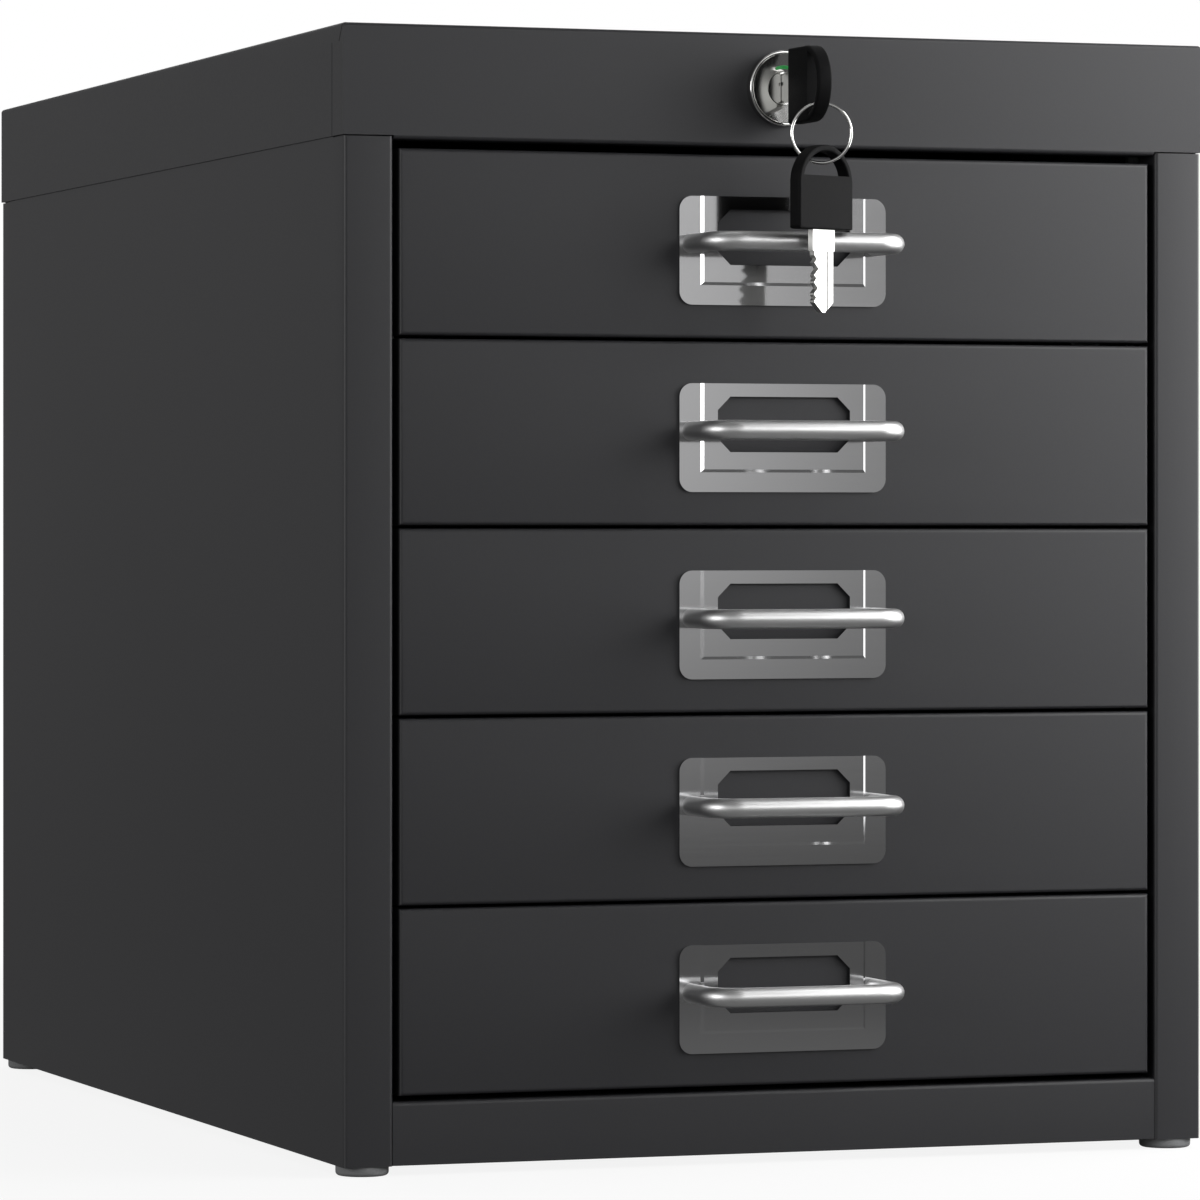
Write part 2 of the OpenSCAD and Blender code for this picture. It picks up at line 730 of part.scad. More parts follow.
module key_bow() {
    rotate([90, 0, 0]) rotate_extrude(angle = 180) translate([inner_r + bow_band / 2, 0])
        rounded_rect(bow_band, bow_t, bow_edge);
    difference() {
        union() {
            // the solid part, with every edge rounded
            translate([0, 0, -bow_foot]) intersection() {
                linear_extrude(bow_foot) rounded_rect(bow_w, bow_t, bow_edge);
                rotate([0, 90, 0]) rotate([0, 0, 90]) translate([0, 0, -bow_r]) linear_extrude(bow_w)
                    translate([0, bow_foot]) rounded_rect(bow_t, 2 * bow_foot, bow_edge);
                rotate([90, 0, 0]) translate([0, bow_foot, -bow_t]) linear_extrude(2 * bow_t)
                    rounded_rect(bow_w, 2 * bow_foot, 2 * bow_edge);
            }
            intersection() {
                rotate([90, 0, 0]) translate([0, 0, -bow_t / 2])
                    cylinder(r = inner_r + bow_band / 2, h = bow_t);
                block([-bow_r, -bow_t, -1], [bow_r, bow_t, bow_chord]);
            }
        }
        translate([-blade_w / 2, -blade_t / 2, -bow_foot - 1]) cube([blade_w, blade_t, tang_l + 1]);
    }
}

// Shoulder, blade and tang cut from one blank, with a groove in each face and cuts in one edge
module key_blade() {
    cuts = [1.1, 1.8, 0.9, 1.5, 0.8];
    cut_pitch = 2.9;
    end = -bow_foot - shoulder_l;
    half = blade_w / 2;
    tip = end - blade_l;
    groove = 0.5;
    difference() {
        translate([0, blade_t / 2, 0]) rotate([90, 0, 0]) linear_extrude(blade_t) difference() {
            union() {
                translate([-half, -bow_foot]) square([blade_w, tang_l]);
                translate([-shoulder_w / 2, end]) square([shoulder_w, shoulder_l]);
                polygon([[-half, end + 1], [-half, tip + 3], [-0.6, tip], [0.6, tip], [half, tip + 3],
                    [half, end + 1]]);
            }
            for (i = [0:len(cuts) - 1])
                translate([-half, end - 2.5 - i * cut_pitch]) rotate(45)
                    square(cuts[i] * sqrt(2), center = true);
        }
        for (side = [-1, 1])
            translate([half - 3.2, side * blade_t / 2, tip - 1])
                translate([0, -groove / 2, 0]) cube([1, groove, blade_l + 1]);
    }
}

module key_ring() {
    color(steel) translate([ring_side, ring_y, ring_z]) rotate([0, 0, -ring_turn]) rotate([90, 0, 0])
        rotate_extrude() translate([ring_r, 0]) circle(d = wire_d);
}

// ---- Assembly ----

in_frame() lid();
in_frame() left_side();
in_frame() right_side();
in_frame() back_panel();
in_frame() base_panel();
in_frame() front_rail();
in_frame() top_brace();
in_frame() foot(-1, foot_inset);  // foot_front_left
in_frame() foot(1, foot_inset);  // foot_front_right
in_frame() foot(-1, body_d - foot_inset);  // foot_rear_left
in_frame() foot(1, body_d - foot_inset);  // foot_rear_right
for (n = drawers) {
    in_frame() runner(n, true);
    in_frame() runner(n, false);
    in_frame() drawer_front(n);
    in_frame() drawer_tray(n);
    in_frame() label_plate(n);
    in_frame() handle(n);
    in_frame() handle_screws(n);
}
in_frame() lock_housing();
in_frame() lock_nut();
in_frame() lock_plug();
in_frame() lock_cam();
in_frame() cam_screw();
in_frame() lock_bar();
in_frame() bar_guides();
in_frame() color(black) at_key_1() key_bow();  // key_1_bow
in_frame() color(steel) at_key_1() key_blade();  // key_1_blade
in_frame() key_ring();
in_frame() color(black) at_key_2() key_bow();  // key_2_bow
in_frame() color(steel) at_key_2() key_blade();  // key_2_blade
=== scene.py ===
"""Looks of the small metal drawer cabinet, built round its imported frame.

Every CAD piece keeps its place and shape and gets the finish of the real one. The handles, the key
ring and the lock's dished flange are drawn again with finer surfaces, and small things that only the
eye needs are added: the lock's two marks and the spot welds.
Lengths are written in millimetres and turned to metres by MM. Those of the studio are in metres.
"""

import logging
import math
from collections.abc import Sequence
from dataclasses import dataclass, field
from enum import Enum

import bmesh
import bpy
from mathutils import Matrix, Vector


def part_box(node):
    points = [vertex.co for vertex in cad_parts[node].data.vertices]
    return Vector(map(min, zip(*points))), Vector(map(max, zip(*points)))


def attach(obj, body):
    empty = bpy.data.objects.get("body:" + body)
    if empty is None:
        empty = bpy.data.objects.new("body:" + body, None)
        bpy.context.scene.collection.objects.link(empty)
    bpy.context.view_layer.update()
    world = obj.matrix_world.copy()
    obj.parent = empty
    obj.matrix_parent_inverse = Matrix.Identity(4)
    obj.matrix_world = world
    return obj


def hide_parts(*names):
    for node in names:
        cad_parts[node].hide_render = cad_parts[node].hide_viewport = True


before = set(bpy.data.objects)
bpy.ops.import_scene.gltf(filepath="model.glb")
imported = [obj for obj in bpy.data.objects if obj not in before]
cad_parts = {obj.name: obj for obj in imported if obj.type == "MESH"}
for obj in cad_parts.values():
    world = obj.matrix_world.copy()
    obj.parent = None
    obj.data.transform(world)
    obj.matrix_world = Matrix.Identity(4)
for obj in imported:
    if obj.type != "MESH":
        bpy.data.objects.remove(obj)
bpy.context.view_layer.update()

MM = 0.001
DRAWERS = range(1, 6)
LOG = logging.getLogger("cabinet")

Colour = tuple[float, float, float, float]
Point = tuple[float, float, float]
Outline = list[tuple[float, float]]
SocketValue = bpy.types.NodeSocket | float | int | bool | Sequence[float] | bpy.types.Material


# ---- Colour and nodes ----


def linear(hex_colour: str) -> Colour:
    """Turn an sRGB hex colour into the linear one that a shader takes.

    Args:
        hex_colour: Six hex digits after a hash.

    Returns:
        Red, green, blue and an alpha of 1.
    """
    channels = [int(hex_colour[i : i + 2], 16) / 255 for i in (1, 3, 5)]
    red, green, blue = (c / 12.92 if c <= 0.04045 else ((c + 0.055) / 1.055) ** 2.4 for c in channels)
    return red, green, blue, 1.0


def add_node(
    tree: bpy.types.NodeTree,
    kind: str,
    settings: dict[str, object] | None = None,
    inputs: dict[str | int, SocketValue] | None = None,
) -> bpy.types.Node:
    """Add a node with its settings and links.

    Args:
        tree: The tree that the node joins.
        kind: Blender's name for the kind of node.
        settings: Properties of the node and their values.
        inputs: Inputs by name or number, each with a value or the socket that it follows.

    Returns:
        The new node.
    """
    node = tree.nodes.new(kind)
    for name, value in (settings or {}).items():
        setattr(node, name, value)
    for key, value in (inputs or {}).items():
        if isinstance(value, bpy.types.NodeSocket):
            tree.links.new(value, node.inputs[key])
        else:
            node.inputs[key].default_value = value
    return node


# ---- Finishes ----


@dataclass(frozen=True)
class Finish:
    """One finish of a real surface: its material's name, its colour and how rough it is."""

    name: str
    colour: str
    roughness: float

    def material(self) -> bpy.types.Material:
        """Return the finish's material, made the first time it is asked for."""
        made = bpy.data.materials.get(self.name)
        if made is None:
            made = bpy.data.materials.new(self.name)
            made.use_nodes = True
            made.diffuse_color = linear(self.colour)
            tree = made.node_tree
            tree.nodes.clear()
            shader = add_node(tree, "ShaderNodeBsdfPrincipled", inputs={"Roughness": self.roughness})
            self.dress(tree, shader)
            add_node(tree, "ShaderNodeOutputMaterial", inputs={"Surface": shader.outputs["BSDF"]})
        return made

    def dress(self, tree: bpy.types.NodeTree, shader: bpy.types.Node) -> None:
        """Give the shader its colour, roughness and relief.

        Args:
            tree: The material's nodes.
            shader: The surface shader that they feed.
        """
        raise NotImplementedError

    def grain(
        self, tree: bpy.types.NodeTree, size_mm: float, stretch: Point = (1, 1, 1)
    ) -> bpy.types.NodeSocket:
        """Add noise whose cells are about one real size, on object coordinates.

        Args:
            tree: The material's nodes.
            size_mm: Width of one cell, in millimetres.
            stretch: How many times finer the noise is along X, Y and Z.

        Returns:
            The noise from 0 to 1.
        """
        place = add_node(tree, "ShaderNodeTexCoord")
        mapped = add_node(
            tree, "ShaderNodeMapping", inputs={"Vector": place.outputs["Object"], "Scale": stretch}
        )
        noise = add_node(
            tree,
            "ShaderNodeTexNoise",
            inputs={"Vector": mapped.outputs["Vector"], "Scale": 1 / (size_mm * MM), "Detail": 3.0},
        )
        return noise.outputs["Fac"]

    def spread(
        self, tree: bpy.types.NodeTree, value: bpy.types.NodeSocket, low: float, high: float
    ) -> bpy.types.NodeSocket:
        """Map the middle of a noise onto a range.

        Args:
            tree: The material's nodes.
            value: The noise.
            low: Result where the noise is low.
            high: Result where the noise is high.

        Returns:
            The mapped value.
        """
        ranged = add_node(
            tree,
            "ShaderNodeMapRange",
            inputs={"Value": value, "From Min": 0.3, "From Max": 0.7, "To Min": low, "To Max": high},
        )
        return ranged.outputs["Result"]

    def shade(
        self, tree: bpy.types.NodeTree, value: bpy.types.NodeSocket, depth: float
    ) -> bpy.types.NodeSocket:
        """Vary the finish's colour a little, darker and lighter.

        Args:
            tree: The material's nodes.
            value: Noise that says where.
            depth: Share of the brightness that it moves.

        Returns:
            The colour.
        """
        mix = add_node(
            tree,
            "ShaderNodeHueSaturation",
            inputs={"Color": linear(self.colour), "Value": self.spread(tree, value, 1 - depth, 1 + depth)},
        )
        return mix.outputs["Color"]

    def relief(
        self, tree: bpy.types.NodeTree, height: bpy.types.NodeSocket, depth_mm: float
    ) -> bpy.types.NodeSocket:
        """Turn a height from 0 to 1 into a bumped normal.

        Args:
            tree: The material's nodes.
            height: The height.
            depth_mm: What a height of 1 stands for, in millimetres.

        Returns:
            The normal.
        """
        bump = add_node(
            tree, "ShaderNodeBump", inputs={"Height": height, "Distance": depth_mm * MM, "Strength": 1.0}
        )
        return bump.outputs["Normal"]


@dataclass(frozen=True)
class PowderCoat(Finish):
    """Polyester powder coat baked on steel: an even charcoal skin with a fine orange peel and a broad,
    soft gloss. The real peel is about 0.4 mm wide, drawn at 0.8 mm so that it shows at arm's length."""

    peel_mm: float = 0.8
    peel_depth_mm: float = 0.012
    variation: float = 0.05
    unevenness: float = 0.02

    def dress(self, tree: bpy.types.NodeTree, shader: bpy.types.Node) -> None:
        """See Finish.dress."""
        peel = self.grain(tree, self.peel_mm)
        links = tree.links
        low, high = self.roughness - self.unevenness, self.roughness + self.unevenness
        links.new(self.shade(tree, peel, self.variation), shader.inputs["Base Color"])
        links.new(self.spread(tree, peel, low, high), shader.inputs["Roughness"])
        links.new(self.relief(tree, peel, self.peel_depth_mm), shader.inputs["Normal"])


@dataclass(frozen=True)
class PlatedSteel(Finish):
    """Nickel or zinc plate on steel. The draw marks of the sheet or rod under the plate run one way,
    which breaks the reflection up along that way only."""

    draw: Point = (1, 1, 1)
    draw_mm: float = 2.0
    variation: float = 0.04
    unevenness: float = 0.03
    depth_mm: float = 0.003

    def dress(self, tree: bpy.types.NodeTree, shader: bpy.types.Node) -> None:
        """See Finish.dress."""
        marks = self.grain(tree, self.draw_mm, self.draw)
        links = tree.links
        low, high = self.roughness - self.unevenness, self.roughness + self.unevenness
        shader.inputs["Metallic"].default_value = 1.0
        links.new(self.shade(tree, marks, self.variation), shader.inputs["Base Color"])
        links.new(self.spread(tree, marks, low, high), shader.inputs["Roughness"])
        links.new(self.relief(tree, marks, self.depth_mm), shader.inputs["Normal"])


@dataclass(frozen=True)
class MouldedPlastic(Finish):
    """Moulded ABS or rubber with an eroded mould texture: a fine matt grain that scatters the gloss."""

    grain_mm: float = 0.5
    grain_depth_mm: float = 0.02
    gloss: float = 0.5
    variation: float = 0.06
    unevenness: float = 0.05

    def dress(self, tree: bpy.types.NodeTree, shader: bpy.types.Node) -> None:
        """See Finish.dress."""
        grain = self.grain(tree, self.grain_mm)
        links = tree.links
        low, high = self.roughness - self.unevenness, self.roughness + self.unevenness
        shader.inputs["Specular IOR Level"].default_value = self.gloss
        links.new(self.shade(tree, grain, self.variation), shader.inputs["Base Color"])
        links.new(self.spread(tree, grain, low, high), shader.inputs["Roughness"])
        links.new(self.relief(tree, grain, self.grain_depth_mm), shader.inputs["Normal"])


# Charcoal powder coat: a broad soft sheen that rounds off every fold and mirrors nothing sharply.
SHELL_PAINT = PowderCoat("powder_coated_steel", "#29292c", 0.47)
# The same coat sprayed inside, where it lies thinner: a little darker and duller.
TRAY_PAINT = PowderCoat("powder_coated_tray", "#272728", 0.5)
# Zinc plate on rolled sheet: dull grey, with the rolling marks along the cabinet's depth.
ZINC = PlatedSteel("zinc_plated_steel", "#a3a6a8", 0.36, draw=(1, 0.05, 1), draw_mm=3.0)
# Bright nickel plate on pressed sheet: a flat mirror, a little streaked along the strip.
NICKEL = PlatedSteel(
    "bright_nickel_plate",
    "#c5c5c6",
    0.08,
    draw=(0.04, 1, 1),
    draw_mm=0.8,
    variation=0.006,
    unevenness=0.004,
    depth_mm=0.0002,
)
# Satin nickel on drawn rod: a broad white band along the bar with soft edges and dark flanks.
ROD_NICKEL = PlatedSteel(
    "satin_nickel_rod", "#dcdcdc", 0.42, draw=(0.04, 1, 1), draw_mm=0.8, unevenness=0.01, depth_mm=0.001
)
# Polished nickel on turned metal: crisp light and dark crescents round the dish and the rim.
BRIGHT_NICKEL = PlatedSteel(
    "polished_nickel", "#cfcfcd", 0.12, draw_mm=1.5, variation=0.01, unevenness=0.01, depth_mm=0.0008
)
# Zinc plate on small cold-headed screws: a short, grainy shine.
SCREW_STEEL = PlatedSteel("zinc_plated_screw", "#b4b6b8", 0.3, draw_mm=0.6)
# Nickel silver blank, milled along the blade: nearly white, with faint lines down its length.
KEY_NICKEL = PlatedSteel(
    "nickel_silver_key", "#d8d8d5", 0.3, draw=(1, 1, 0.05), draw_mm=0.5, variation=0.02, depth_mm=0.001
)
# Drawn steel wire: a thin bright line round the ring.
RING_STEEL = PlatedSteel("bright_steel_wire", "#dddddb", 0.14, draw_mm=0.6, depth_mm=0.001)
# Injection-moulded ABS from a spark-eroded mould: matt black that hardly lights up on its faces.
KEY_PLASTIC = MouldedPlastic("black_abs", "#0e0e0f", 0.58, gloss=0.09)
# Moulded rubber: a pale, chalky grey.
FOOT_RUBBER = MouldedPlastic("grey_rubber", "#8a8b8c", 0.62, grain_mm=0.7, gloss=0.3)
# Stoved enamel in the lock's dish: a smooth wet shine on a small arc of colour.
GREEN_MARK = MouldedPlastic("green_enamel", "#2f9148", 0.3, grain_mm=1.5, grain_depth_mm=0.003)
RED_MARK = MouldedPlastic("red_enamel", "#c23434", 0.3, grain_mm=1.5, grain_depth_mm=0.003)


# ---- Mesh helpers ----


def new_piece(name: str, mesh: bpy.types.Mesh, finish: Finish, body: str) -> bpy.types.Object:
    """Make a piece of a mesh that is already in its place.

    Args:
        name: The piece's name.
        mesh: Its mesh, in the frame's metres.
        finish: What it is finished with.
        body: The CAD body that it rides on.

    Returns:
        The piece.
    """
    piece = bpy.data.objects.new(name, mesh)
    bpy.context.scene.collection.objects.link(piece)
    mesh.materials.clear()
    mesh.materials.append(finish.material())
    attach(piece, body)
    LOG.info("%s rides on %s", name, body)
    return piece


def smooth(mesh: bpy.types.Mesh, degrees: float) -> None:
    """Shade a mesh smooth, apart from edges sharper than an angle."""
    mesh.polygons.foreach_set("use_smooth", [True] * len(mesh.polygons))
    mesh.set_sharp_from_angle(angle=math.radians(degrees))


def quarter_circle(centre: tuple[float, float], radius: float, start: float, steps: int) -> Outline:
    """Return the points of a quarter circle, anticlockwise.

    Args:
        centre: Its centre, as a radius and a height.
        radius: Its own radius.
        start: Angle of its first point, in degrees.
        steps: Stretches between its points.

    Returns:
        The points, each as a radius and a height.
    """
    angles = [math.radians(start + 90 * step / steps) for step in range(steps + 1)]
    return [(centre[0] + radius * math.cos(a), centre[1] + radius * math.sin(a)) for a in angles]


def lathe(name: str, outline: Outline, steps: int) -> bpy.types.Mesh:
    """Turn a closed outline round the local Z axis.

    Args:
        name: The mesh's name.
        outline: Radius and height of each point, in millimetres, anticlockwise.
        steps: Faces round the axis.

    Returns:
        The mesh, in metres.
    """
    verts = []
    for step in range(steps):
        angle = 2 * math.pi * step / steps
        verts += [(r * MM * math.cos(angle), r * MM * math.sin(angle), z * MM) for r, z in outline]
    count = len(outline)
    faces = []
    for step in range(steps):
        here, there = step * count, (step + 1) % steps * count
        for i in range(count):
            j = (i + 1) % count
            faces.append((here + i, there + i, there + j, here + j))
    mesh = bpy.data.meshes.new(name)
    mesh.from_pydata(verts, [], faces)
    mesh.validate()
    return outward_faces(mesh)


def outward_faces(mesh: bpy.types.Mesh) -> bpy.types.Mesh:
    """Merge doubles and turn every face of a closed mesh outwards."""
    form = bmesh.new()
    form.from_mesh(mesh)
    bmesh.ops.remove_doubles(form, verts=form.verts, dist=1e-7)
    bmesh.ops.recalc_face_normals(form, faces=form.faces)
    form.to_mesh(mesh)
    form.free()
    return mesh


def grow(name: str, tree: bpy.types.NodeTree, values: dict[str, SocketValue]) -> bpy.types.Mesh:
    """Run a Geometry Nodes tree and keep its result as a plain mesh.

    Args:
        name: The mesh's name.
        tree: The tree.
        values: The tree's inputs by name.

    Returns:
        The evaluated mesh.
    """
    holder = bpy.data.objects.new(name, bpy.data.meshes.new(name))
    bpy.context.scene.collection.objects.link(holder)
    modifier = holder.modifiers.new(name, "NODES")
    modifier.node_group = tree
    for item in tree.interface.items_tree:
        if item.item_type == "SOCKET" and item.in_out == "INPUT" and item.name in values:
            modifier[item.identifier] = values[item.name]
    holder.update_tag()
    evaluated = holder.evaluated_get(bpy.context.evaluated_depsgraph_get())
    mesh = bpy.data.meshes.new_from_object(evaluated)
    mesh.name = name
    bpy.data.objects.remove(holder)
    return mesh


def new_tree(name: str, inputs: dict[str, str]) -> tuple[bpy.types.NodeTree, bpy.types.Node]:
    """Start a Geometry Nodes tree with named inputs.

    Args:
        name: The tree's name.
        inputs: Each input's name and its socket type.

    Returns:
        The tree and its group input node.
    """
    tree = bpy.data.node_groups.new(name, "GeometryNodeTree")
    tree.is_modifier = True
    for title, kind in inputs.items():
        tree.interface.new_socket(title, in_out="INPUT", socket_type=kind)
    tree.interface.new_socket("Geometry", in_out="OUTPUT", socket_type="NodeSocketGeometry")
    return tree, add_node(tree, "NodeGroupInput")


def end_tree(
    tree: bpy.types.NodeTree, geometry: bpy.types.NodeSocket, material: bpy.types.NodeSocket
) -> None:
    """Finish a tree with Realize Instances and Set Material.

    Args:
        tree: The tree.
        geometry: What it made.
        material: The material's socket.
    """
    real = add_node(tree, "GeometryNodeRealizeInstances", inputs={"Geometry": geometry})
    dressed = add_node(
        tree, "GeometryNodeSetMaterial", inputs={"Geometry": real.outputs["Geometry"], "Material": material}
    )
    add_node(tree, "NodeGroupOutput", inputs={"Geometry": dressed.outputs["Geometry"]})


def softened_tree() -> bpy.types.NodeTree:
    """Return a tree that joins a CAD node's loose triangles and shades its curved faces smooth."""
    tree, start = new_tree(
        "joined_and_smooth",
        {"Geometry": "NodeSocketGeometry", "Distance": "NodeSocketFloat", "Angle": "NodeSocketFloat"},
    )
    joined = add_node(
        tree,
        "GeometryNodeMergeByDistance",
        inputs={"Geometry": start.outputs["Geometry"], "Distance": start.outputs["Distance"]},
    )
    faces = add_node(
        tree,
        "GeometryNodeSetShadeSmooth",
        {"domain": "FACE"},
        {"Geometry": joined.outputs["Geometry"], "Shade Smooth": True},
    )
    angle = add_node(tree, "GeometryNodeInputMeshEdgeAngle")
    sharp = add_node(
        tree,
        "FunctionNodeCompare",
        {"operation": "GREATER_THAN"},
        {0: angle.outputs["Unsigned Angle"], 1: start.outputs["Angle"]},
    )
    edges = add_node(
        tree,
        "GeometryNodeSetShadeSmooth",
        {"domain": "EDGE"},
        {"Geometry": faces.outputs["Geometry"], "Selection": sharp.outputs["Result"], "Shade Smooth": False},
    )
    add_node(tree, "NodeGroupOutput", inputs={"Geometry": edges.outputs["Geometry"]})
    return tree


class CadDresser:
    """Gives CAD nodes their finish, and joins and smooths their curved faces."""

    JOIN_MM = 0.001
    SHARP_DEGREES = 28.0

    def __init__(self) -> None:
        """Make the tree that all the nodes share."""
        self.tree = softened_tree()

    def dress(self, node: str, finish: Finish) -> None:
        """Finish one CAD node.

        Args:
            node: The node's name.
            finish: Its finish.
        """
        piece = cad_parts[node]
        piece.data.materials.clear()
        piece.data.materials.append(finish.material())
        modifier = piece.modifiers.new("joined_and_smooth", "NODES")
        modifier.node_group = self.tree
        values = {"Distance": self.JOIN_MM * MM, "Angle": math.radians(self.SHARP_DEGREES)}
        for item in self.tree.interface.items_tree:
            if item.item_type == "SOCKET" and item.in_out == "INPUT" and item.name in values:
                modifier[item.identifier] = values[item.name]
        LOG.info("%s is finished as %s", node, finish.name)


# ---- The cabinet ----


@dataclass
class Shell:
    """The folded sheet shell: sides, lid, back, base, rail, brace, runners and feet."""

    dresser: CadDresser
    weld_pitch: float = 58.0
    weld_r: float = 2.2
    weld_h: float = 0.25
    weld_count: int = 6
    weld_sides: int = 16
    weld_rings: int = 8
    weld_drop: float = 7.0
    web_t: float = 1.0

    def build(self) -> None:
        """Dress the shell's nodes and add its welds."""
        for node in ("lid", "left_side", "right_side", "front_rail", "back_panel"):
            self.dresser.dress(node, SHELL_PAINT)
        for node in ("base_panel", "top_brace"):
            self.dresser.dress(node, TRAY_PAINT)
        for n in DRAWERS:
            for side in ("left", "right"):
                self.dresser.dress(f"runner_{side}_{n}", ZINC)
        for end in ("front", "rear"):
            for side in ("left", "right"):
                self.dresser.dress(f"foot_{end}_{side}", FOOT_RUBBER)
        self.add_welds()

    def add_welds(self) -> None:
        """Add a row of spot welds on the web of every runner, in one piece for each side."""
        tree, start = new_tree(
            "weld_row",
            {
                "Count": "NodeSocketInt",
                "Pitch": "NodeSocketFloat",
                "Radius": "NodeSocketFloat",
                "Height": "NodeSocketFloat",
                "Material": "NodeSocketMaterial",
            },
        )
        offset = add_node(tree, "ShaderNodeCombineXYZ", inputs={"Y": start.outputs["Pitch"]})
        row = add_node(
            tree,
            "GeometryNodeMeshLine",
            inputs={"Count": start.outputs["Count"], "Offset": offset.outputs["Vector"]},
        )
        nugget = add_node(
            tree,
            "GeometryNodeMeshUVSphere",
            inputs={
                "Segments": self.weld_sides,
                "Rings": self.weld_rings,
                "Radius": start.outputs["Radius"],
            },
        )
        ratio = add_node(
            tree,
            "ShaderNodeMath",
            {"operation": "DIVIDE"},
            {0: start.outputs["Height"], 1: start.outputs["Radius"]},
        )
        flat = add_node(tree, "ShaderNodeCombineXYZ", inputs={"X": ratio.outputs[0], "Y": 1.0, "Z": 1.0})
        spread = add_node(
            tree,
            "GeometryNodeInstanceOnPoints",
            inputs={
                "Points": row.outputs["Mesh"],
                "Instance": nugget.outputs["Mesh"],
                "Scale": flat.outputs["Vector"],
            },
        )
        end_tree(tree, spread.outputs["Instances"], start.outputs["Material"])
        for side, sign in (("left", -1), ("right", 1)):
            form = bmesh.new()
            for n in DRAWERS:
                low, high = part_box(f"runner_{side}_{n}")
                row_mesh = grow(
                    f"weld_row_{side}_{n}",
                    tree,
                    {
                        "Count": self.weld_count,
                        "Pitch": self.weld_pitch * MM,
                        "Radius": self.weld_r * MM,
                        "Height": self.weld_h * MM,
                        "Material": ZINC.material(),
                    },
                )
                web = (high.x if sign > 0 else low.x) - sign * self.web_t * MM
                start_y = (low.y + high.y) / 2 - (self.weld_count - 1) / 2 * self.weld_pitch * MM
                row_mesh.transform(Matrix.Translation((web, start_y, high.z - self.weld_drop * MM)))
                form.from_mesh(row_mesh)
            mesh = bpy.data.meshes.new(f"runner_welds_{side}")
            form.to_mesh(mesh)
            form.free()
            smooth(mesh, 60)
            new_piece(f"runner_welds_{side}", mesh, ZINC, "cabinet")


@dataclass
class Drawer:
    """One drawer: its front, tray, label plate, screws and bent-rod handle."""

    number: int
    dresser: CadDresser
    handle_tree: bpy.types.NodeTree
    rod_sides: int = 40

    def build(self) -> None:
        """Dress the drawer's nodes and draw its handle."""
        n = self.number
        self.dresser.dress(f"drawer_front_{n}", SHELL_PAINT)
        self.dresser.dress(f"drawer_tray_{n}", TRAY_PAINT)
        self.dresser.dress(f"label_plate_{n}", NICKEL)
        self.dresser.dress(f"handle_screws_{n}", SCREW_STEEL)
        self.draw_handle()

    def draw_handle(self) -> None:
        """Draw the bent rod in the space of its CAD node."""
        n = self.number
        low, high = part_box(f"handle_{n}")
        rod = high.z - low.z
        mesh = grow(
            f"handle_rod_{n}",
            self.handle_tree,
            {
                "Span": high.x - low.x - rod,
                "Reach": high.y - low.y - rod / 2,
                "Bend": Handle.BEND_MM * MM,
                "Rod": rod / 2,
                "Sides": self.rod_sides,
                "Material": ROD_NICKEL.material(),
            },
        )
        mesh.transform(Matrix.Translation(((low.x + high.x) / 2, high.y, (low.z + high.z) / 2)))
        smooth(mesh, 50)
        rod_piece = new_piece(f"handle_rod_{n}", mesh, ROD_NICKEL, f"drawer_{n}")
        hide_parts(f"handle_{n}")


class Handle:
    """The rule that all the handles follow: a rod bent twice round one radius."""

    BEND_MM = 8.0
    BEND_STEPS = 14

    @staticmethod
    def tree() -> bpy.types.NodeTree:
        """Return the tree that draws a handle with its legs ending at Y = 0."""
        tree, start = new_tree(
            "bent_rod",
            {
                "Span": "NodeSocketFloat",
                "Reach": "NodeSocketFloat",
                "Bend": "NodeSocketFloat",
                "Rod": "NodeSocketFloat",
                "Sides": "NodeSocketInt",
                "Material": "NodeSocketMaterial",
            },
        )

        def scaled(socket: bpy.types.NodeSocket, factor: float) -> bpy.types.NodeSocket:
            """Return a socket's value times a factor."""
            product = add_node(tree, "ShaderNodeMath", {"operation": "MULTIPLY"}, {0: socket, 1: factor})
            return product.outputs[0]

        left = scaled(start.outputs["Span"], -0.5)
        right = scaled(start.outputs["Span"], 0.5)
        out = scaled(start.outputs["Reach"], -1.0)
        corners = [
            add_node(tree, "ShaderNodeCombineXYZ", inputs=place).outputs["Vector"]
            for place in ({"X": left}, {"X": left, "Y": out}, {"X": right, "Y": out}, {"X": right})
        ]
        path = add_node(
            tree,
            "GeometryNodeCurvePrimitiveQuadrilateral",
            {"mode": "POINTS"},
            {f"Point {i + 1}": corner for i, corner in enumerate(corners)},
        )
        opened = add_node(
            tree, "GeometryNodeSetSplineCyclic", inputs={"Geometry": path.outputs["Curve"], "Cyclic": False}
        )
        bent = add_node(
            tree,
            "GeometryNodeFilletCurve",
            {"mode": "POLY"},
            {
                "Curve": opened.outputs["Geometry"],
                "Radius": start.outputs["Bend"],
                "Count": Handle.BEND_STEPS,
            },
        )
        section = add_node(
            tree,
            "GeometryNodeCurvePrimitiveCircle",
            inputs={"Resolution": start.outputs["Sides"], "Radius": start.outputs["Rod"]},
        )
        rod = add_node(
            tree,
            "GeometryNodeCurveToMesh",
            inputs={
                "Curve": bent.outputs["Curve"],
                "Profile Curve": section.outputs["Curve"],
                "Fill Caps": True,
            },
        )
        end_tree(tree, rod.outputs["Mesh"], start.outputs["Material"])
        return tree


